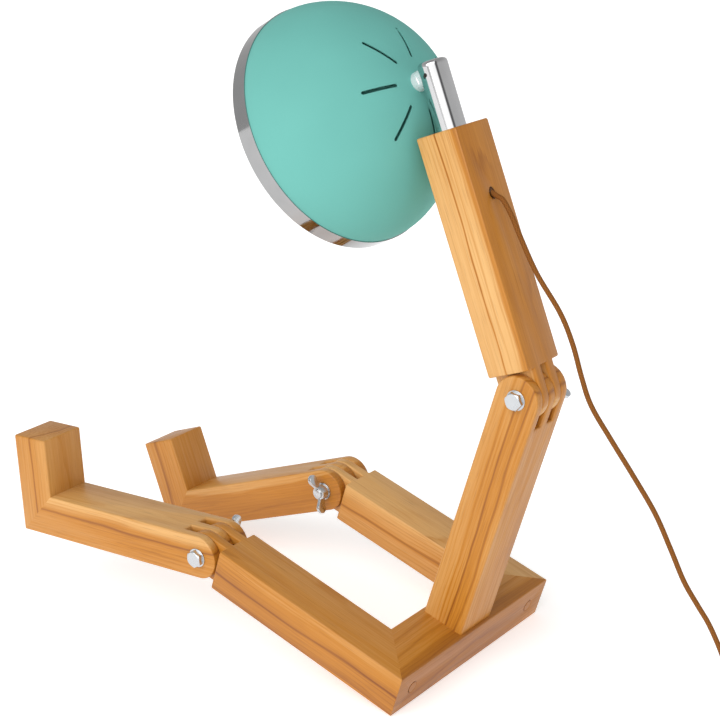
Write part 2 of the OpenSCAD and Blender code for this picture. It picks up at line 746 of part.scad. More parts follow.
module cord_free() color(cord_c) {
    ways = [for (i = [0 : free_n - 1]) free_way(i)];
    tube(free_mid, [for (i = [0 : free_n - 1]) [1, 0, 0]], ways, 10);
}

module cord_coil() color(cord_c) {
    n = len(coil_mid_line);
    sides = [for (i = [0 : n - 1]) coil_side(i)];
    tube(coil_mid_line, sides, [for (s = sides) [-s[1], s[0], 0]], 6);
}

module cord_tie() color(cord_c) translate([coil_at[0], coil_at[1], 0]) rotate([0, 0, 160]) {
    low_r = coil_in_r - cord_r - tie_gap;
    high_r = coil_out_r + cord_r + tie_gap;
    top = coil_high + cord_r + tie_gap;
    rotate([90, 0, 0]) linear_extrude(height = tie_w, center = true) difference() {
        translate([low_r - tie_t, 0]) square([high_r - low_r + 2 * tie_t, top + tie_t]);
        translate([low_r, tie_t]) square([high_r - low_r, top - tie_t]);
    }
}

module at_plug() translate(coil_stop) rotate([0, 0, 180]) children();

module plug_body() color(cord_c) at_plug() {
    rotate([0, 90, 0]) cylinder(r1 = cord_r + 0.7, r2 = sleeve_d / 2, h = sleeve_len);
    translate([sleeve_len, 0, -coil_high]) linear_extrude(height = 2 * coil_high) polygon([
        [0, -plug_w * 0.3], [plug_len * 0.3, -plug_w / 2], [plug_len - 3, -plug_w / 2], [plug_len, 3 - plug_w / 2],
        [plug_len, plug_w / 2 - 3], [plug_len - 3, plug_w / 2], [plug_len * 0.3, plug_w / 2], [0, plug_w * 0.3]
    ]);
}

module plug_pins() color(steel_c) at_plug() {
    for (y = [-plug_pin_gap / 2, plug_pin_gap / 2]) {
        translate([sleeve_len + plug_len, y, 0]) rotate([0, 90, 0]) cylinder(r = plug_pin_d / 2, h = plug_pin_len);
    }
}

hip_crossbar();
thigh_left();
thigh_right();
hip_screws();
hip_plugs();
waist_bar();
waist_dowels();
waist_bolt();
waist_washer();
waist_wing_nut();
shin_left();
foot_left();
foot_dowels_left();
knee_bolt_left();
knee_washer_left();
knee_wing_nut_left();
shin_right();
foot_right();
foot_dowels_right();
knee_bolt_right();
knee_washer_right();
knee_wing_nut_right();
torso();
cord_bush();
cord_inner();
neck_tube();
swivel_pin();
swivel_spacers();
swivel_boss();
shade();
rim_ring();
shade_nipple();
shade_nut();
vent_shield();
lamp_holder();
bulb_cap();
bulb_glass();
cord_free();
cord_coil();
cord_tie();
plug_body();
plug_pins();
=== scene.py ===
import json
import math
from typing import NamedTuple

import bmesh
import bpy
from bpy.props import FloatProperty, FloatVectorProperty, PointerProperty
from mathutils import Matrix, Vector
from mathutils.bvhtree import BVHTree

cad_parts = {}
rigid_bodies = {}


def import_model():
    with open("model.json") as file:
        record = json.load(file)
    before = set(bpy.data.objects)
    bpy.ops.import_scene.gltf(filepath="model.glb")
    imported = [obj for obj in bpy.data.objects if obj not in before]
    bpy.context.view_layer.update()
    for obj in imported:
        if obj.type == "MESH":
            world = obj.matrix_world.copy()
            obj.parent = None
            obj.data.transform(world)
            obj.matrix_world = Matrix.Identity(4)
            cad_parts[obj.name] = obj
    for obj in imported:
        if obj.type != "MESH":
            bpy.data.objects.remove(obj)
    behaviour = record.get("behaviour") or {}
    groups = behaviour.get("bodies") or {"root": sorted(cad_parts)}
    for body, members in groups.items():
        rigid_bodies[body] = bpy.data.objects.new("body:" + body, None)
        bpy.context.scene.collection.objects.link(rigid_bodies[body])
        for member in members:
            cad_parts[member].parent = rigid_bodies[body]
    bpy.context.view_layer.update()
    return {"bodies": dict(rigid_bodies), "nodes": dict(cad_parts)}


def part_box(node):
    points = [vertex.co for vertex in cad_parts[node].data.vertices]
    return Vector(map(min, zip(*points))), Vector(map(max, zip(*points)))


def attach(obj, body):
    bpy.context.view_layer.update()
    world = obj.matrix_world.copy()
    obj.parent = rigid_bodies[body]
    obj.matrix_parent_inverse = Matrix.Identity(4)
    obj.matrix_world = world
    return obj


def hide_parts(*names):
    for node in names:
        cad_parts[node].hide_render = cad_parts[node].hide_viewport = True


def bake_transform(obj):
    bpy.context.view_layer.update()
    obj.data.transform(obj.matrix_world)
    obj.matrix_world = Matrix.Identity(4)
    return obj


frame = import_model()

bl_info = {
    "name": "Seated Wooden Lamp",
    "version": (1, 0, 0),
    "blender": (4, 5, 0),
    "location": "View3D > Sidebar > Seated Lamp",
    "description": "Dresses a jointed wooden floor lamp that sits on the floor",
    "category": "Object",
}

CAD = frame["nodes"]


class Bar(NamedTuple):
    """How a wooden bar was sawn from its log, and what it is glued to."""

    # Direction of the grain, in degrees from +Y towards +Z. None runs along X.
    pitch: float | None
    # Where the bar's middle lies from the log's heart, in metres: along, across and through.
    place: tuple
    # The bars glued to it. Its edges stay crisp where it meets them.
    glued: tuple
    # Growth bands: millimetres outwards from the bar's middle, and tones, 0 pale to 1 dark. Some
    # tones are painted light: paler at the tops of the thighs and shins, darker on the crossbar.
    bands_and_painted_light: tuple


# On the thighs and shins the tones at the upper face are paler: a painted sheen where light falls
# on the tops. The crossbar's darker tones are partly its own tone and partly painted shade beside
# the waist bar.
BARS = {
    "hip_crossbar": Bar(None, (0.31, 0.170, 0.020), ("thigh_left", "thigh_right", "waist_bar"), (
        (-24, 0.68), (-20.5, 0.62), (-18, 0.44), (-10, 0.43), (-7.5, 0.60), (-5, 0.42), (7, 0.40),
        (9.5, 0.60), (12, 0.39), (24, 0.38))),
    "thigh_left": Bar(161.11, (0.12, 0.022, 0.160), ("hip_crossbar",), (
        (-24, 0.57), (-16, 0.57), (-14, 0.78), (-11, 0.57), (0.5, 0.57), (3.2, 0.95), (5, 0.66),
        (9, 0.57), (17, 0.50), (21, 0.44), (24, 0.42))),
    "thigh_right": Bar(161.11, (0.83, -0.030, 0.150), ("hip_crossbar",), (
        (-24, 0.38), (-12, 0.34), (-6, 0.40), (-3.6, 0.84), (-1.5, 0.40), (9, 0.30), (17, 0.20),
        (24, 0.10))),
    "waist_bar": Bar(71.11, (0.47, 0.016, 0.175), ("hip_crossbar",), (
        (-24, 0.28), (-4, 0.32), (-1.5, 0.52), (0.6, 0.38), (6, 0.42), (7.8, 0.88), (9.6, 0.52),
        (17.5, 0.52), (19.6, 0.88), (21.4, 0.50), (24, 0.46))),
    "torso": Bar(109.61, (0.71, 0.014, 0.180), (), (
        (-24, 0.12), (1.2, 0.14), (2.9, 0.70), (4.3, 0.14), (8.6, 0.08), (10.2, 0.30),
        (11.6, 0.10), (16.8, 0.12), (18.2, 0.32), (19.6, 0.18), (22, 0.50), (24, 0.58))),
    "shin_left": Bar(181.61, (0.22, 0.020, 0.150), ("foot_left",), (
        (-24, 0.46), (3, 0.46), (7, 0.52), (9.4, 0.88), (11.4, 0.54), (16, 0.40), (20, 0.20),
        (24, 0.12))),
    "shin_right": Bar(199.11, (0.95, -0.018, 0.170), ("foot_right",), (
        (-24, 0.58), (-8, 0.58), (-6, 0.65), (-3, 0.58), (20, 0.58), (23, 0.42), (24, 0.32))),
    "foot_left": Bar(91.61, (0.55, 0.020, 0.160), ("shin_left",), (
        (-24, 0.40), (4.4, 0.38), (6.4, 0.84), (8, 0.40), (16, 0.36), (24, 0.34))),
    "foot_right": Bar(109.11, (0.37, -0.012, 0.150), ("shin_right",), (
        (-24, 0.50), (-5, 0.48), (-2.4, 0.88), (0, 0.50), (12, 0.46), (24, 0.46))),
}
# The crossbar leans with the hips, so its rings are turned with it.
CROSSBAR_ACROSS = Vector((0, -0.94616, 0.3237))
# Each set of pegs, and the bar whose grain it follows.
PEGS = {
    "hip_plugs": "hip_crossbar", "waist_dowels": "waist_bar", "foot_dowels_left": "foot_left",
    "foot_dowels_right": "foot_right",
}
# Each bolt: the side its head is on, and the body it rides.
BOLTS = {
    "knee_bolt_left": (1, "leg_left"), "knee_bolt_right": (-1, "leg_right"),
    "waist_bolt": (1, "hips"),
}
# The round flange under a bolt's head: its thickness, its circle's sides and its turned edge.
FLANGE_THICK, FLANGE_SIDES = 0.0012, 64
FLANGE_EDGE = FLANGE_THICK * 0.3
# The bolts' thread, and how far from the outer face of a bolt's head it starts.
THREAD_PITCH, THREAD_START = 0.0015, 0.012
NUTS = ("knee_wing_nut_left", "knee_wing_nut_right", "waist_wing_nut")
STEEL = (
    "knee_washer_left", "knee_washer_right", "waist_washer", "hip_screws", "swivel_spacers",
    "shade_nipple", "shade_nut", "plug_pins",
)

# Colours of the small pieces.
BOSS_COLOR = (0.90, 0.90, 0.91)
# The pin's near black is painted shade: it stands for the dark hole seen where the pin's end sits
# in the tube's side.
PIN_SHADE_COLOR = (0.060, 0.048, 0.042)
# The bush's dark brown is painted shade for the shadowed inside of the cord's hole.
BUSH_SHADE_COLOR = (0.070, 0.028, 0.008)
HOLDER_COLOR = (0.78, 0.77, 0.72)
BRASS_COLOR = (0.60, 0.46, 0.22)
OPAL_COLORS = ((0.84, 0.83, 0.79), (0.90, 0.90, 0.87))
FLOOR_COLORS = ((0.90, 0.90, 0.90), (0.92, 0.92, 0.92))
# The rim's chrome is a darker copy of the neck's: painted shade for the darker reflections that
# the rim shows.
RIM_PAINTED_SHADE = 0.66
# Roughness of zinc plating, and the roughness up to which plating is polished.
ZINC_GLOSS, POLISHED = (0.20, 0.32), 0.2

# Patterns of the wood, as changes per metre along, across and through the bar.
GRAIN = {
    "sway": (3.4, 9, 9), "ripple": (16, 120, 120), "fibre": (9, 520, 520),
    "pores": (34, 1300, 1300), "broad": (4.0, 22, 22), "patch": (7.0, 34, 34),
}
# How far the rings wander in wide bends and in small ones, in metres.
WANDER = {"sway": 0.009, "ripple": 0.0011}
# Share of a ring at which the late wood begins, is darkest, and how steeply it darkens.
LATE_START, LATE_PEAK, LATE_CURVE = 0.30, 0.90, 2.2
# Noise values at which the fine rings and the pores begin to show, and show fully.
PATCH_SHOWS, PORE_SHOWS = (0.42, 0.68), (0.60, 0.72)
# How much each pattern changes the wood's tone.
RING_TONE, FIBRE_TONE, BROAD_TONE, PORE_TONE = 0.20, (-0.07, 0.08), (-0.07, 0.07), 0.24
# Ranges that hold most of a soft noise's values, more of them, and nearly all.
MOST, MORE, NEARLY_ALL = (0.3, 0.7), (0.25, 0.75), (0.2, 0.8)
# The cord's braid: metres for one turn of a strand, and strands each way.
BRAID_PITCH, BRAID_STRANDS = 0.0042, 6.0
# Its fuzz and its changes of tone, per metre along the cord and once around it.
BRAID_FUZZ, BRAID_TONE = (2600, 40), (60, 3)

# Light of the studio's walls: angle from +X towards +Y in degrees, and brightness.
WALLS = (
    (-180, 0.50), (-120, 0.52), (-60, 0.46), (-5, 0.52), (8, 1.30), (45, 1.30), (53, 0.12),
    (63, 0.12), (72, 0.52), (130, 0.54), (180, 0.50),
)
# The walls dim with height: two heights, as shares of the way up, and the strengths there.
WALL_HEIGHTS, WALL_STRENGTHS = (0.2, 0.9), (1.25, 0.78)
# The soft key light: where it shines from, how wide it is and its power.
SUN_FROM, SUN_SPREAD, SUN_POWER = Vector((1.0, 0.06, 0.70)), math.radians(60.0), 1.65
# The floor's side, how far it lies under the lamp, and its glow.
FLOOR_SIZE, FLOOR_DROP, FLOOR_GLOW = 60.0, 0.0002, 0.45
# The sensor's width in millimetres, and the camera's nearest and farthest distance.
SENSOR, CLIP = 36.0, (0.05, 60.0)

# The cord's route behind the lamp, in metres: where it leaves the back's hole, in which
# direction, how far it runs straight, and the y and z of places on its way to the floor.
CORD_START = Vector((0.0, 0.255423, 0.506677))
CORD_WAY = Vector((0.0, 0.90343, -0.42874))
CORD_LEAD = 0.007
ROUTE = (
    (0.271, 0.490), (0.281, 0.470), (0.299, 0.437), (0.325, 0.402), (0.339, 0.373),
    (0.349, 0.342), (0.360, 0.315), (0.382, 0.285), (0.406, 0.254), (0.430, 0.221),
    (0.447, 0.189), (0.462, 0.159), (0.477, 0.138), (0.489, 0.122), (0.500, 0.102),
    (0.510, 0.080), (0.520, 0.058), (0.531, 0.037), (0.544, 0.019), (0.557, 0.008),
)
# The coil of spare cord on the floor: where it begins, where its end meets the plug, its middle.
COIL_START = Vector((0.0, 0.570, 0.0037))
COIL_STOP = Vector((-0.061625, 0.61325, 0.0092))
COIL_MIDDLE = Vector((-0.039625, 0.575, 0.0))
# Turns in all, the turn at which it climbs to the second layer, and how long that takes.
COIL_TURNS, COIL_TURNING, COIL_CLIMB = 7.25, 3.75, 0.5
COIL_RADIUS, COIL_PITCH = 0.019, 0.0055
# Points between two places of the route, in a turn of the coil, and around the cord.
ROUTE_STEPS, COIL_STEPS, CORD_SIDES = 6, 44, 14
# Points of the straight end, as shares of the way from the coil to the plug.
END_STEPS = (0.33, 0.66, 1.0)

# Edges sharper than SHARP are rounded. Faces that meet flatter than SMOOTH are shaded as one.
SHARP, SMOOTH, TUBE_SMOOTH = math.radians(38), math.radians(30), math.radians(50)
# CAD triangles that meet flatter than this are joined, and corners closer than this are one.
COPLANAR, SAME_POINT = math.radians(0.6), 0.00002
# An edge closer than this to a glued bar lies in the joint.
IN_JOINT = 0.0001


class LampSizes(bpy.types.PropertyGroup):
    """Sizes of the finish that a maker would change."""

    edge: FloatProperty(
        name="Bar edge", description="Rounding of the wooden bars' edges", default=0.0018,
        unit="LENGTH")
    ring: FloatProperty(
        name="Growth ring", description="Distance between the wood's fine growth rings",
        default=0.0046, unit="LENGTH")
    cord_diameter: FloatProperty(
        name="Cord diameter", description="Diameter of the braided cord", default=0.005,
        unit="LENGTH")
    head: FloatProperty(
        name="Bolt head", description="Height of the bolts' heads", default=0.007, unit="LENGTH")
    flange: FloatProperty(
        name="Bolt flange", description="Radius of the round flange under a bolt's head",
        default=0.0104, unit="LENGTH")
    metal_edge: FloatProperty(
        name="Metal edge", description="Rounding of the nuts' and bolts' edges", default=0.0005,
        unit="LENGTH")
    plug_edge: FloatProperty(
        name="Plug edge", description="Rounding of the plug's edges", default=0.0022,
        unit="LENGTH")
    tie_edge: FloatProperty(
        name="Tie edge", description="Rounding of the coil tie's edges", default=0.0003,
        unit="LENGTH")


class LampColors(bpy.types.PropertyGroup):
    """Colours of the lamp's finishes."""

    # The pale end of the wood's tones: the torso's sapwood, and also the painted sheen on the
    # tops of the thighs and shins.
    wood_pale: FloatVectorProperty(
        name="Sapwood", description="Pale wood from the outside of the log", subtype="COLOR",
        size=3, default=(0.700, 0.405, 0.148))
    wood_light: FloatVectorProperty(
        name="Early wood", description="Light part of the grain", subtype="COLOR", size=3,
        default=(0.480, 0.184, 0.016))
    wood_dark: FloatVectorProperty(
        name="Late wood", description="Dark lines of the grain", subtype="COLOR", size=3,
        default=(0.215, 0.058, 0.004))
    shade: FloatVectorProperty(
        name="Shade", description="Enamel of the shade", subtype="COLOR", size=3,
        default=(0.144, 0.428, 0.379))
    chrome: FloatVectorProperty(
        name="Chrome", description="Bright plating of the neck and the rim", subtype="COLOR",
        size=3, default=(0.62, 0.62, 0.625))
    steel: FloatVectorProperty(
        name="Steel", description="Zinc plating of nuts and bolts", subtype="COLOR", size=3,
        default=(0.60, 0.62, 0.64))
    cord: FloatVectorProperty(
        name="Cord", description="Braid of the cord", subtype="COLOR", size=3,
        default=(0.222, 0.080, 0.015))
    plug: FloatVectorProperty(
        name="Plug", description="Plastic of the plug and the tie", subtype="COLOR", size=3,
        default=(0.105, 0.045, 0.018))


class LampView(bpy.types.PropertyGroup):
    """Where the lamp is seen from."""

    place: FloatVectorProperty(
        name="Camera place", description="Where the camera stands", subtype="TRANSLATION",
        unit="LENGTH", default=(1.3825, 1.1400, 0.8909))
    azimuth: FloatProperty(
        name="Azimuth", description="Turn of the camera round the lamp", subtype="ANGLE",
        unit="ROTATION", default=math.radians(127.34))
    elevation: FloatProperty(
        name="Elevation", description="Height of the camera above the horizon", subtype="ANGLE",
        unit="ROTATION", default=math.radians(18.39))
    roll: FloatProperty(
        name="Roll", description="Turn of the picture", subtype="ANGLE", unit="ROTATION",
        default=math.radians(1.71))
    lens: FloatProperty(
        name="Lens", description="Focal length in millimetres on a 36 mm sensor", unit="CAMERA",
        default=88.1)


# Node helpers

# Sockets of a Mix node that mixes colours: its factor, both colours and its result.
MIX_FACTOR, MIX_COLORS, MIX_RESULT = 0, (6, 7), 2


def new_material(name):
    """A material with an empty tree that ends in one Principled shader."""
    mat = bpy.data.materials.new(name)
    mat.use_nodes = True
    tree = mat.node_tree
    tree.nodes.clear()
    shader = tree.nodes.new("ShaderNodeBsdfPrincipled")
    output = tree.nodes.new("ShaderNodeOutputMaterial")
    tree.links.new(shader.outputs["BSDF"], output.inputs["Surface"])
    return mat, tree, shader


def feed(tree, socket, value):
    """Links a socket or sets a plain value."""
    if isinstance(value, bpy.types.NodeSocket):
        tree.links.new(value, socket)
    else:
        socket.default_value = value


def calc(tree, operation, *values, clamp=False):
    """A Math node's result."""
    item = tree.nodes.new("ShaderNodeMath")
    item.operation = operation
    item.use_clamp = clamp
    for i, value in enumerate(values):
        feed(tree, item.inputs[i], value)
    return item.outputs[0]


def tinted(color, factor):
    """A colour made lighter or darker."""
    return tuple(min(1.0, c * factor) for c in color)


def blend_colors(tree, factor, first, second):
    """A colour between two colours."""
    item = tree.nodes.new("ShaderNodeMix")
    item.data_type = "RGBA"
    feed(tree, item.inputs[MIX_FACTOR], factor)
    for i, color in zip(MIX_COLORS, (first, second)):
        linked = isinstance(color, bpy.types.NodeSocket)
        feed(tree, item.inputs[i], color if linked else (*color, 1.0))
    return item.outputs[MIX_RESULT]


def varied(tree, share, color, dark, light):
    """A colour that varies from a darker to a lighter tone of itself."""
    return blend_colors(tree, share, tinted(color, dark), tinted(color, light))


def remap(tree, value, low, high, to_low, to_high):
    """A value carried from one range to another, held at both ends."""
    item = tree.nodes.new("ShaderNodeMapRange")
    ends = (("From Min", low), ("From Max", high), ("To Min", to_low), ("To Max", to_high))
    for name, number in ends:
        item.inputs[name].default_value = number
    feed(tree, item.inputs["Value"], value)
    return item.outputs["Result"]


def ramp(tree, value, stops):
    """A colour read from stops that run from 0 to 1."""
    item = tree.nodes.new("ShaderNodeValToRGB")
    feed(tree, item.inputs["Fac"], value)
    elements = item.color_ramp.elements
    for place, color in stops[1:-1]:
        elements.new(place).color = (*color, 1.0)
    for element, (_, color) in ((elements[0], stops[0]), (elements[-1], stops[-1])):
        element.color = (*color, 1.0)
    return item.outputs["Color"]


def place_pattern(tree, source, rotation=(0, 0, 0), location=(0, 0, 0), scale=(1, 1, 1)):
    """Coordinates turned, moved and stretched for a pattern."""
    item = tree.nodes.new("ShaderNodeMapping")
    feed(tree, item.inputs["Vector"], source)
    item.inputs["Rotation"].default_value = rotation
    item.inputs["Location"].default_value = location
    item.inputs["Scale"].default_value = scale
    return item.outputs["Vector"]


def clouds(tree, source, scale=1.0, detail=2.0, roughness=0.5):
    """Soft noise from 0 to 1."""
    item = tree.nodes.new("ShaderNodeTexNoise")
    feed(tree, item.inputs["Vector"], source)
    item.inputs["Scale"].default_value = scale
    item.inputs["Detail"].default_value = detail
    item.inputs["Roughness"].default_value = roughness
    return item.outputs["Fac"]


def coordinates(tree, kind="Object"):
    """Coordinates of a piece, in metres or of its UV map, or of the walls, as directions."""
    return tree.nodes.new("ShaderNodeTexCoord").outputs[kind]


def split(tree, source):
    """The X, Y and Z of a place."""
    item = tree.nodes.new("ShaderNodeSeparateXYZ")
    feed(tree, item.inputs[0], source)
    return item.outputs


def coat(tree, shader, color, roughness, shine=0.5):
    """Gives a surface its colour, its roughness and the strength of its reflections."""
    feed(tree, shader.inputs["Base Color"], color)
    feed(tree, shader.inputs["Roughness"], roughness)
    shader.inputs["Specular IOR Level"].default_value = shine


def add_bump(tree, shader, height, strength, distance):
    """Relief from a height pattern."""
    item = tree.nodes.new("ShaderNodeBump")
    item.inputs["Strength"].default_value = strength
    item.inputs["Distance"].default_value = distance
    feed(tree, item.inputs["Height"], height)
    tree.links.new(item.outputs["Normal"], shader.inputs["Normal"])


# Finishes


def grain_frame(node, bar):
    """The turn and the shift that carry a bar's coordinates to those of its log."""
    if bar.pitch is None:
        along, across = Vector((1, 0, 0)), CROSSBAR_ACROSS
    else:
        pitch = math.radians(bar.pitch)
        along, across = Vector((0, math.cos(pitch), math.sin(pitch))), Vector((1, 0, 0))
    turn = Matrix((along, across, along.cross(across)))
    low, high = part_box(node)
    return turn.to_euler("XYZ"), Vector(bar.place) - turn @ ((low + high) / 2)


def oiled_wood(name, node, bar, colors, ring):
    """Oiled wood: bands and fine rings around the log's heart, fibres and pores along the bar;
    the bands' tones also hold painted sheen and painted shade on some faces.
    """
    mat, tree, shader = new_material(name)
    grain = place_pattern(tree, coordinates(tree), *grain_frame(node, bar))

    def pattern(kind, detail, roughness=0.5):
        stretched = place_pattern(tree, grain, scale=GRAIN[kind])
        return clouds(tree, stretched, detail=detail, roughness=roughness)

    # Distance from the heart, with bends.
    parts = split(tree, grain)
    squares = [calc(tree, "MULTIPLY", parts[axis], parts[axis]) for axis in ("Y", "Z")]
    radius = calc(tree, "SQRT", calc(tree, "ADD", *squares))
    for kind, reach in WANDER.items():
        bend = remap(tree, pattern(kind, detail=2.0), *NEARLY_ALL, -reach, reach)
        radius = calc(tree, "ADD", radius, bend)
    # Broad bands, each with its own tone; at the thighs' and shins' tops the tones hold painted
    # sheen, and on the crossbar partly painted shade.
    middle = math.hypot(*bar.place[1:])
    reach = bar.bands_and_painted_light[-1][0] / 1000
    stops = [((mm / 1000 + reach) / (2 * reach), (tone,) * 3) for mm, tone in bar.bands_and_painted_light]
    band_and_painted_light = ramp(tree, remap(tree, radius, middle - reach, middle + reach, 0.0, 1.0), stops)
    # Fine rings, which show in patches.
    phase = calc(tree, "FRACT", calc(tree, "DIVIDE", radius, ring))
    rise = calc(tree, "POWER", remap(tree, phase, LATE_START, LATE_PEAK, 0.0, 1.0), LATE_CURVE)
    late = calc(tree, "MULTIPLY", rise, remap(tree, phase, LATE_PEAK, 1.0, 1.0, 0.0))
    patch = remap(tree, pattern("patch", detail=1.0), *PATCH_SHOWS, 0.0, RING_TONE)
    # Depth of colour, from pale through light to dark wood, with dark pores.
    fibre = pattern("fibre", detail=3.0, roughness=0.6)
    broad = pattern("broad", detail=1.0)
    pore = remap(tree, pattern("pores", detail=1.0), *PORE_SHOWS, 0.0, 1.0)
    depth = calc(tree, "ADD", band_and_painted_light, calc(tree, "MULTIPLY", late, patch))
    depth = calc(tree, "ADD", depth, remap(tree, fibre, *MOST, *FIBRE_TONE))
    depth = calc(tree, "ADD", depth, remap(tree, broad, *MOST, *BROAD_TONE), clamp=True)
    tones = ((0.0, colors.wood_pale), (0.5, colors.wood_light), (1.0, colors.wood_dark))
    pore_share = calc(tree, "MULTIPLY", pore, PORE_TONE)
    pore_color = tinted(colors.wood_dark, 0.6)
    color = blend_colors(tree, pore_share, ramp(tree, depth, tones), pore_color)
    coat(tree, shader, color, remap(tree, fibre, *MORE, 0.34, 0.48), shine=0.45)
    raised, sunk = calc(tree, "MULTIPLY", fibre, 0.5), calc(tree, "MULTIPLY", pore, 0.6)
    add_bump(tree, shader, calc(tree, "SUBTRACT", raised, sunk), strength=0.14, distance=0.0004)
    return mat


def enamel(color):
    """Smooth satin enamel with faint orange peel."""
    mat, tree, shader = new_material("shade_enamel")
    tone = clouds(tree, coordinates(tree), scale=9.0)
    peel = clouds(tree, coordinates(tree), scale=260.0)
    share = remap(tree, tone, *MOST, 0.0, 1.0)
    mixed = varied(tree, share, color, dark=0.965, light=1.03)
    coat(tree, shader, mixed, remap(tree, peel, *MOST, 0.60, 0.68), shine=0.08)
    add_bump(tree, shader, peel, strength=0.035, distance=0.0003)
    return mat


def plating(name, color, smooth, rough, metal=1.0):
    """Plated metal with slight wear: its gloss and tone vary in fine clouds."""
    mat, tree, shader = new_material(name)
    wear = clouds(tree, coordinates(tree), scale=38.0, detail=3.0, roughness=0.6)
    mixed = varied(tree, wear, color, dark=0.90, light=1.07)
    coat(tree, shader, mixed, remap(tree, wear, *MORE, smooth, rough))
    shader.inputs["Metallic"].default_value = metal
    return mat, tree, shader


def plated(name, color, smooth, rough, metal=1.0):
    """Plated metal with fine specks, fainter where it is polished."""
    mat, tree, shader = plating(name, color, smooth, rough, metal)
    speck = clouds(tree, coordinates(tree), scale=960.0)
    relief = 0.012 if rough <= POLISHED else 0.05
    add_bump(tree, shader, speck, strength=relief, distance=0.0002)
    return mat


def threaded_steel(name, node, side, color):
    """Zinc-plated bolt: plain head, fine thread cut around the shank."""
    mat, tree, shader = plating(name, color, *ZINC_GLOSS)
    low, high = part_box(node)
    x = split(tree, coordinates(tree))["X"]
    wave = calc(tree, "SINE", calc(tree, "MULTIPLY", x, math.tau / THREAD_PITCH))
    if side > 0:
        shank = calc(tree, "LESS_THAN", x, high.x - THREAD_START)
    else:
        shank = calc(tree, "GREATER_THAN", x, low.x + THREAD_START)
    add_bump(tree, shader, calc(tree, "MULTIPLY", wave, shank), strength=0.8, distance=0.0004)
    return mat


def moulded(name, color, gloss, relief=0.05, shine=0.5):
    """Moulded plastic with a fine grain."""
    mat, tree, shader = new_material(name)
    fine = clouds(tree, coordinates(tree), scale=420.0)
    tone = clouds(tree, coordinates(tree), scale=24.0)
    mixed = varied(tree, tone, color, dark=0.90, light=1.10)
    coat(tree, shader, mixed, remap(tree, fine, *MOST, gloss - 0.05, gloss + 0.07), shine)
    add_bump(tree, shader, fine, strength=relief, distance=0.0003)
    return mat


def braid(name, color, length):
    """Braided textile sleeve: two sets of strands wound against each other along the cord."""
    mat, tree, shader = new_material(name)
    uv = coordinates(tree, "UV")
    parts = split(tree, uv)
    along = calc(tree, "MULTIPLY", parts["X"], round(length / BRAID_PITCH))
    around = calc(tree, "MULTIPLY", parts["Y"], BRAID_STRANDS)
    turns = [calc(tree, way, along, around) for way in ("ADD", "SUBTRACT")]
    waves = [calc(tree, "SINE", calc(tree, "MULTIPLY", turn, math.tau)) for turn in turns]
    strand = calc(tree, "MAXIMUM", *waves)
    fuzz, tone = (clouds(tree, place_pattern(tree, uv, scale=(length * metre, once, 1)))
                  for metre, once in (BRAID_FUZZ, BRAID_TONE))
    # Raised strands are painted lighter and the grooves between them darker: painted light and
    # shade on the braid, with the fuzz's random tone added.
    raised = remap(tree, strand, -0.6, 1.0, 0.05, 0.62)
    painted_strand_light_and_fuzz = calc(tree, "ADD", raised, calc(tree, "MULTIPLY", fuzz, 0.34))
    mixed = varied(tree, painted_strand_light_and_fuzz, color, dark=0.52, light=1.34)
    mixed = blend_colors(tree, calc(tree, "MULTIPLY", tone, 0.22), mixed, tinted(color, 0.7))
    coat(tree, shader, mixed, remap(tree, fuzz, *MOST, 0.62, 0.82), shine=0.12)
    height = calc(tree, "ADD", strand, calc(tree, "MULTIPLY", fuzz, 0.4))
    add_bump(tree, shader, height, strength=0.45, distance=0.0003)
    return mat


def woven(name, color):
    """Short stretch of the cord inside the bush, by the piece's own coordinates."""
    mat, tree, shader = new_material(name)
    strand = clouds(tree, coordinates(tree), scale=900.0)
    mixed = varied(tree, strand, color, dark=0.6, light=1.3)
    coat(tree, shader, mixed, remap(tree, strand, *MOST, 0.62, 0.82), shine=0.12)
    add_bump(tree, shader, strand, strength=0.35, distance=0.0003)
    return mat


def opal_glass(name):
    """Frosted white bulb glass."""
    mat, tree, shader = new_material(name)
    haze = clouds(tree, coordinates(tree), scale=60.0)
    mixed = blend_colors(tree, haze, *OPAL_COLORS)
    coat(tree, shader, mixed, remap(tree, haze, *MOST, 0.22, 0.34))
    shader.inputs["Transmission Weight"].default_value = 0.15
    shader.inputs["Subsurface Weight"].default_value = 0.2
    shader.inputs["Subsurface Radius"].default_value = (0.004, 0.004, 0.004)
    return mat


def pale_paint(name):
    """Matt floor paint that glows a little, so that the floor meets the walls without a line."""
    mat, tree, shader = new_material(name)
    tone = clouds(tree, coordinates(tree), scale=0.4)
    coat(tree, shader, blend_colors(tree, tone, *FLOOR_COLORS), roughness=0.9, shine=0.1)
    shader.inputs["Emission Color"].default_value = (1.0, 1.0, 1.0, 1.0)
    shader.inputs["Emission Strength"].default_value = FLOOR_GLOW
    return mat


def studio_walls(name):
    """A pale studio all round: one broad bright wall, and a narrow dark one for the chrome."""
    world = bpy.data.worlds.new(name)
    world.use_nodes = True
    tree = world.node_tree
    parts = split(tree, coordinates(tree, "Generated"))
    turn = calc(tree, "ARCTAN2", parts["Y"], parts["X"])
    stops = [((angle + 180) / 360, (light,) * 3) for angle, light in WALLS]
    color = ramp(tree, remap(tree, turn, -math.pi, math.pi, 0.0, 1.0), stops)
    back = tree.nodes["Background"]
    feed(tree, back.inputs["Color"], color)
    dimmed = remap(tree, parts["Z"], *WALL_HEIGHTS, *WALL_STRENGTHS)
    feed(tree, back.inputs["Strength"], dimmed)
    return world


# Shapes


def dress(node, mat):
    """Gives a CAD node its finish."""
    materials = CAD[node].data.materials
    materials.clear()
    materials.append(mat)


def choose(obj):
    """Makes an object the only one selected, and the active one."""
    bpy.ops.object.select_all(action="DESELECT")
    obj.select_set(True)
    bpy.context.view_layer.objects.active = obj


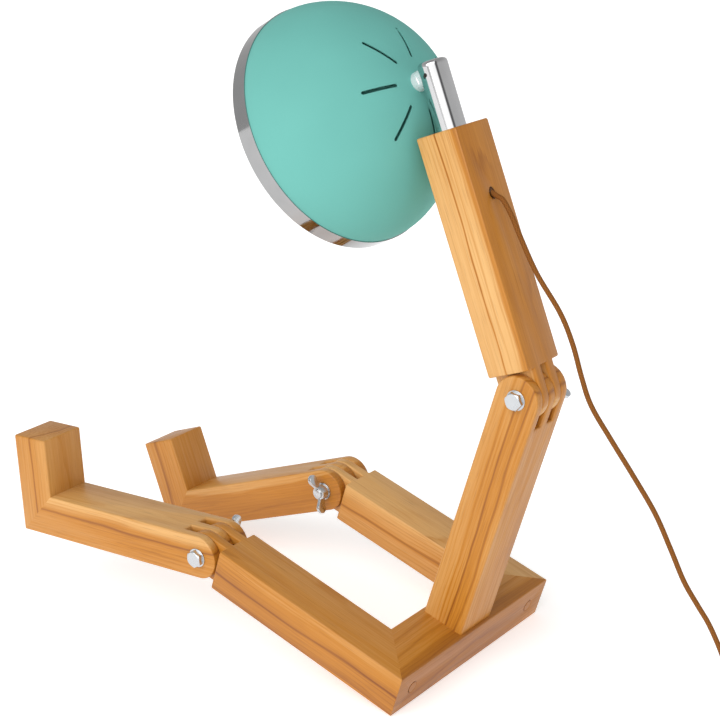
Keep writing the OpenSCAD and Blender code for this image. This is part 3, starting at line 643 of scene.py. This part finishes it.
def link_new(name, mesh):
    """A new object for a mesh, linked and chosen."""
    obj = bpy.data.objects.new(name, mesh)
    bpy.context.collection.objects.link(obj)
    choose(obj)
    return obj


def select_sharp():
    """Selects the sharp edges of the mesh in edit mode."""
    bpy.ops.mesh.select_all(action="DESELECT")
    bpy.ops.mesh.edges_select_sharp(sharpness=SHARP)


def round_selected(width, segments):
    """Rounds the selected edges, leaves edit mode and shades the mesh."""
    bpy.ops.mesh.bevel(offset=width, segments=segments, profile=0.5, affect="EDGES")
    bpy.ops.object.mode_set(mode="OBJECT")
    bpy.ops.object.shade_smooth_by_angle(angle=SMOOTH)


def surface_of(node):
    """A CAD node's surface, for asking how near it is."""
    mesh = CAD[node].data
    return BVHTree.FromPolygons(
        [vert.co for vert in mesh.vertices], [face.vertices[:] for face in mesh.polygons])


def gap(surface, point):
    """The distance from a surface to a point."""
    *_, distance = surface.find_nearest(point)
    return distance


def in_joint(edge, surfaces):
    """Whether an edge lies along one of the surfaces."""
    a, b = (vert.co for vert in edge.verts)
    points = (a, b, (a + b) / 2)
    return any(all(gap(surface, p) < IN_JOINT for p in points) for surface in surfaces)


def eased(node, name, mat, width, segments=3, glued=()):
    """Models a finished piece over a CAD node: sharp edges rounded, joints left crisp."""
    source = CAD[node]
    obj = link_new(name, source.data.copy())
    bpy.ops.mesh.customdata_custom_splitnormals_clear()
    bpy.ops.object.mode_set(mode="EDIT")
    bpy.ops.mesh.select_mode(type="EDGE")
    bpy.ops.mesh.select_all(action="SELECT")
    bpy.ops.mesh.mark_sharp(clear=True)
    bpy.ops.mesh.remove_doubles(threshold=SAME_POINT)
    bpy.ops.mesh.dissolve_limited(angle_limit=COPLANAR)
    select_sharp()
    surfaces = [surface_of(other) for other in glued]
    mesh = bmesh.from_edit_mesh(obj.data)
    for edge in mesh.edges:
        if edge.select and in_joint(edge, surfaces):
            edge.select_set(False)
    bmesh.update_edit_mesh(obj.data)
    round_selected(width, segments)
    obj.data.materials.clear()
    obj.data.materials.append(mat)
    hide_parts(node)
    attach(obj, next(body for body, empty in frame["bodies"].items() if empty == source.parent))


def flange_disc(radius, mat):
    """The mesh of the flange under a bolt's head: a disc across X with a turned edge."""
    bpy.ops.object.select_all(action="DESELECT")
    bpy.ops.mesh.primitive_cylinder_add(
        vertices=FLANGE_SIDES, radius=radius, depth=FLANGE_THICK, rotation=(0, math.pi / 2, 0))
    obj = bpy.context.object
    bpy.ops.object.transform_apply(location=True, rotation=True, scale=True)
    bpy.ops.object.mode_set(mode="EDIT")
    bpy.ops.mesh.select_mode(type="EDGE")
    select_sharp()
    round_selected(FLANGE_EDGE, segments=3)
    disc = obj.data
    disc.materials.append(mat)
    bpy.data.objects.remove(obj)
    return disc


def smooth_line(points, steps):
    """Points on a smooth curve through the given points."""
    last = len(points) - 1
    line = []
    for i in range(last):
        a, b, c, d = (points[min(last, max(0, i + k))] for k in (-1, 0, 1, 2))
        for step in range(steps):
            t = step / steps
            line.append(0.5 * (2 * b + (c - a) * t + (2 * a - 5 * b + 4 * c - d) * t ** 2
                               + (3 * b - a - 3 * c + d) * t ** 3))
    return line + [points[last]]


def coil_point(turn):
    """A point of the coil: inwards on the floor, up one layer, and outwards again."""
    radius = COIL_RADIUS + COIL_PITCH * abs(turn - COIL_TURNING)
    t = min(1.0, max(0.0, (turn - COIL_TURNING) / COIL_CLIMB + 0.5))
    rise = COIL_PITCH * t * t * (3 - 2 * t)
    angle = math.tau * turn
    spoke = Vector((radius * math.cos(angle), radius * math.sin(angle), COIL_START.z + rise))
    return COIL_MIDDLE + spoke


def cord_line():
    """The cord's whole centre line: behind the lamp, round the coil and to the plug."""
    points = [CORD_START, CORD_START + CORD_LEAD * CORD_WAY]
    points += [Vector((0.0, y, z)) for y, z in ROUTE] + [COIL_START]
    steps = round(COIL_TURNS * COIL_STEPS)
    coil = [coil_point(COIL_TURNS * i / steps) for i in range(steps + 1)]
    end = [coil[-1].lerp(COIL_STOP, t) for t in END_STEPS]
    return smooth_line(points, ROUTE_STEPS) + coil + end


def sweep(name, line, diameter, sides):
    """A closed tube along a line, with a UV map that runs along it and around it."""
    distance = [0.0]
    for a, b in zip(line, line[1:]):
        distance.append(distance[-1] + (b - a).length)
    verts, faces, uvs = [], [], []
    side = Vector((1, 0, 0))
    for i, point in enumerate(line):
        way = (line[min(i + 1, len(line) - 1)] - line[max(i - 1, 0)]).normalized()
        side = (side - way * side.dot(way)).normalized()
        other = way.cross(side)
        for k in range(sides):
            a = math.tau * k / sides
            verts.append(point + (side * math.cos(a) + other * math.sin(a)) * diameter / 2)
    for i in range(len(line) - 1):
        u0, u1 = distance[i] / distance[-1], distance[i + 1] / distance[-1]
        here, there = i * sides, (i + 1) * sides
        for k in range(sides):
            n = (k + 1) % sides
            v0, v1 = k / sides, (k + 1) / sides
            faces.append((here + k, here + n, there + n, there + k))
            uvs += [(u0, v0), (u0, v1), (u1, v1), (u1, v0)]
    end = (len(line) - 1) * sides
    faces.append(tuple(reversed(range(sides))))
    faces.append(tuple(range(end, end + sides)))
    uvs += [(0.0, k / sides) for k in reversed(range(sides))]
    uvs += [(1.0, k / sides) for k in range(sides)]
    mesh = bpy.data.meshes.new(name)
    mesh.from_pydata(verts, [], faces)
    layer = mesh.uv_layers.new(name="Along")
    for loop, uv in zip(layer.data, uvs):
        loop.uv = uv
    obj = link_new(name, mesh)
    bpy.ops.object.shade_smooth_by_angle(angle=TUBE_SMOOTH)
    return obj, distance[-1]


# Operators


class LAMP_OT_camera(bpy.types.Operator):
    """Stands the camera behind the lamp, to its left and above"""

    bl_idname = "lamp.camera"
    bl_label = "Camera"

    def execute(self, context):
        seen = context.scene.lamp_view
        az, el, roll = seen.azimuth, seen.elevation, seen.roll
        back = Vector((math.sin(az) * math.cos(el), -math.cos(az) * math.cos(el), math.sin(el)))
        right = (-back).cross(Vector((0, 0, 1))).normalized()
        down = (-back).cross(right)
        right, down = (right * math.cos(roll) + down * math.sin(roll),
                       down * math.cos(roll) - right * math.sin(roll))
        lens = bpy.data.cameras.new("lamp_camera")
        lens.sensor_fit = "HORIZONTAL"
        lens.sensor_width = SENSOR
        lens.lens = seen.lens
        lens.clip_start, lens.clip_end = CLIP
        camera = bpy.data.objects.new("lamp_camera", lens)
        context.collection.objects.link(camera)
        turn = Matrix((right, -down, back)).transposed().to_4x4()
        camera.matrix_world = Matrix.Translation(seen.place) @ turn
        context.scene.camera = camera
        return {"FINISHED"}


class LAMP_OT_plug(bpy.types.Operator):
    """Finishes the plug and the tie around the coil"""

    bl_idname = "lamp.plug"
    bl_label = "Plug and tie"

    def execute(self, context):
        sizes, colors = context.scene.lamp_sizes, context.scene.lamp_colors
        plastic = moulded("plug_plastic_grain", colors.plug, gloss=0.46)
        eased("plug_body", "plug_moulded", plastic, sizes.plug_edge)
        eased("cord_tie", "coil_tie", plastic, sizes.tie_edge, segments=2)
        return {"FINISHED"}


class LAMP_OT_cord(bpy.types.Operator):
    """Lays the braided cord from the back's hole to the floor, and its spare length in a coil"""

    bl_idname = "lamp.cord"
    bl_label = "Cord"

    def execute(self, context):
        sizes, colors = context.scene.lamp_sizes, context.scene.lamp_colors
        line = cord_line()
        cord, length = sweep("braided_cord", line, sizes.cord_diameter, CORD_SIDES)
        cord.data.materials.append(braid("cord_braid", colors.cord, length))
        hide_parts("cord_free", "cord_coil")
        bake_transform(cord)
        dress("cord_inner", woven("cord_inside", colors.cord))
        return {"FINISHED"}


class LAMP_OT_bars(bpy.types.Operator):
    """Finishes the wooden bars with grain along each bar and eased edges"""

    bl_idname = "lamp.bars"
    bl_label = "Wooden bars"

    def execute(self, context):
        sizes, colors = context.scene.lamp_sizes, context.scene.lamp_colors
        for node, bar in BARS.items():
            wood = oiled_wood(node + "_wood", node, bar, colors, sizes.ring)
            eased(node, node + "_wooden", wood, sizes.edge, glued=bar.glued)
        return {"FINISHED"}


class LAMP_OT_pegs(bpy.types.Operator):
    """Finishes the plugs over the screws and the dowels, each with the grain of its bar"""

    bl_idname = "lamp.pegs"
    bl_label = "Plugs and dowels"

    def execute(self, context):
        sizes, colors = context.scene.lamp_sizes, context.scene.lamp_colors
        for node, bar in PEGS.items():
            dress(node, oiled_wood(node + "_wood", bar, BARS[bar], colors, sizes.ring))
        return {"FINISHED"}


class LAMP_OT_fixings(bpy.types.Operator):
    """Finishes the bolts, washers, wing nuts, screws and pins"""

    bl_idname = "lamp.fixings"
    bl_label = "Nuts and bolts"

    def execute(self, context):
        sizes, colors = context.scene.lamp_sizes, context.scene.lamp_colors
        zinc = plated("zinc_steel", colors.steel, *ZINC_GLOSS)
        disc = flange_disc(sizes.flange, zinc)
        for node, (side, body) in BOLTS.items():
            thread = threaded_steel(node + "_steel", node, side, colors.steel)
            eased(node, node + "_threaded", thread, sizes.metal_edge, segments=2)
            low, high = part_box(node)
            place = (low + high) / 2
            place.x = (high if side > 0 else low).x - side * (sizes.head - FLANGE_THICK / 2)
            ring = link_new(node + "_flange", disc.copy())
            ring.data.name = ring.name
            ring.data.transform(Matrix.Translation(place))
            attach(ring, body)
        for node in NUTS:
            eased(node, node + "_plated", zinc, sizes.metal_edge, segments=2)
        for node in STEEL:
            dress(node, zinc)
        return {"FINISHED"}


class LAMP_OT_neck(bpy.types.Operator):
    """Finishes the chrome neck, its swivel and the cord's bush"""

    bl_idname = "lamp.neck"
    bl_label = "Neck and bush"

    def execute(self, context):
        colors = context.scene.lamp_colors
        dress("neck_tube", plated("bright_chrome", colors.chrome, smooth=0.045, rough=0.10))
        boss = plated("satin_boss", BOSS_COLOR, smooth=0.22, rough=0.34, metal=0.5)
        dress("swivel_boss", boss)
        # The pin is painted dark: painted shade of the hole in the tube's side.
        dress("swivel_pin", plated("pin_painted_shade", PIN_SHADE_COLOR, smooth=0.28, rough=0.40))
        # Dark brown bush: painted shade of the cord's hole.
        bush = moulded("bush_painted_shade", BUSH_SHADE_COLOR, gloss=0.16, relief=0.01, shine=0.22)
        dress("cord_bush", bush)
        return {"FINISHED"}


class LAMP_OT_shade(bpy.types.Operator):
    """Finishes the enamelled shade, the shield behind its slots and its chrome rim"""

    bl_idname = "lamp.shade"
    bl_label = "Shade"

    def execute(self, context):
        colors = context.scene.lamp_colors
        paint = enamel(colors.shade)
        for node in ("shade", "vent_shield"):
            dress(node, paint)
        # A darker copy of the chrome: painted shade on the rim.
        rim_shaded_color = tinted(colors.chrome, RIM_PAINTED_SHADE)
        dress("rim_ring", plated("rim_chrome_painted_shade", rim_shaded_color, smooth=0.05, rough=0.11))
        return {"FINISHED"}


class LAMP_OT_bulb(bpy.types.Operator):
    """Finishes the lamp holder and the bulb"""

    bl_idname = "lamp.bulb"
    bl_label = "Holder and bulb"

    def execute(self, context):
        dress("lamp_holder", moulded("holder_white", HOLDER_COLOR, gloss=0.30))
        dress("bulb_cap", plated("cap_brass", BRASS_COLOR, smooth=0.22, rough=0.36))
        dress("bulb_glass", opal_glass("bulb_opal"))
        return {"FINISHED"}


class LAMP_OT_stage(bpy.types.Operator):
    """Lays a pale floor and lights the studio softly"""

    bl_idname = "lamp.stage"
    bl_label = "Stage"

    def execute(self, context):
        scene = context.scene
        bpy.ops.object.select_all(action="DESELECT")
        bpy.ops.mesh.primitive_plane_add(size=FLOOR_SIZE, location=(0.0, 0.0, -FLOOR_DROP))
        floor = context.object
        floor.name = "pale_floor"
        floor.data.materials.append(pale_paint("pale_floor"))
        scene.world = studio_walls("studio")
        sun = bpy.data.lights.new("key", "SUN")
        sun.angle = SUN_SPREAD
        sun.energy = SUN_POWER
        key = bpy.data.objects.new("key", sun)
        context.collection.objects.link(key)
        key.rotation_euler = (-SUN_FROM).to_track_quat("-Z", "Y").to_euler()
        scene.view_settings.view_transform = "Standard"
        scene.view_settings.look = "None"
        return {"FINISHED"}


class LAMP_PT_panel(bpy.types.Panel):
    """Sizes, colours and steps of the lamp"""

    bl_label = "Seated Lamp"
    bl_idname = "LAMP_PT_panel"
    bl_space_type = "VIEW_3D"
    bl_region_type = "UI"
    bl_category = "Seated Lamp"

    def draw(self, context):
        scene = context.scene
        for group in (scene.lamp_sizes, scene.lamp_colors, scene.lamp_view):
            box = self.layout.box()
            for name in type(group).__annotations__:
                box.prop(group, name)
        for step in STEPS:
            self.layout.operator(step.bl_idname)


GROUPS = {"lamp_sizes": LampSizes, "lamp_colors": LampColors, "lamp_view": LampView}
STEPS = (
    LAMP_OT_camera, LAMP_OT_plug, LAMP_OT_cord, LAMP_OT_bars, LAMP_OT_pegs, LAMP_OT_fixings,
    LAMP_OT_neck, LAMP_OT_shade, LAMP_OT_bulb, LAMP_OT_stage,
)


def register():
    """Adds the property groups, the operators and the panel."""
    for cls in (*GROUPS.values(), *STEPS, LAMP_PT_panel):
        bpy.utils.register_class(cls)
    for name, cls in GROUPS.items():
        setattr(bpy.types.Scene, name, PointerProperty(type=cls))


def unregister():
    """Takes them away again."""
    for name in GROUPS:
        delattr(bpy.types.Scene, name)
    for cls in reversed((*GROUPS.values(), *STEPS, LAMP_PT_panel)):
        bpy.utils.unregister_class(cls)


def main():
    """Runs every step in order."""
    register()
    bpy.ops.lamp.camera()
    bpy.ops.lamp.plug()
    bpy.ops.lamp.cord()
    bpy.ops.lamp.bars()
    bpy.ops.lamp.pegs()
    bpy.ops.lamp.fixings()
    bpy.ops.lamp.neck()
    bpy.ops.lamp.shade()
    bpy.ops.lamp.bulb()
    bpy.ops.lamp.stage()


if __name__ == "__main__":
    main()
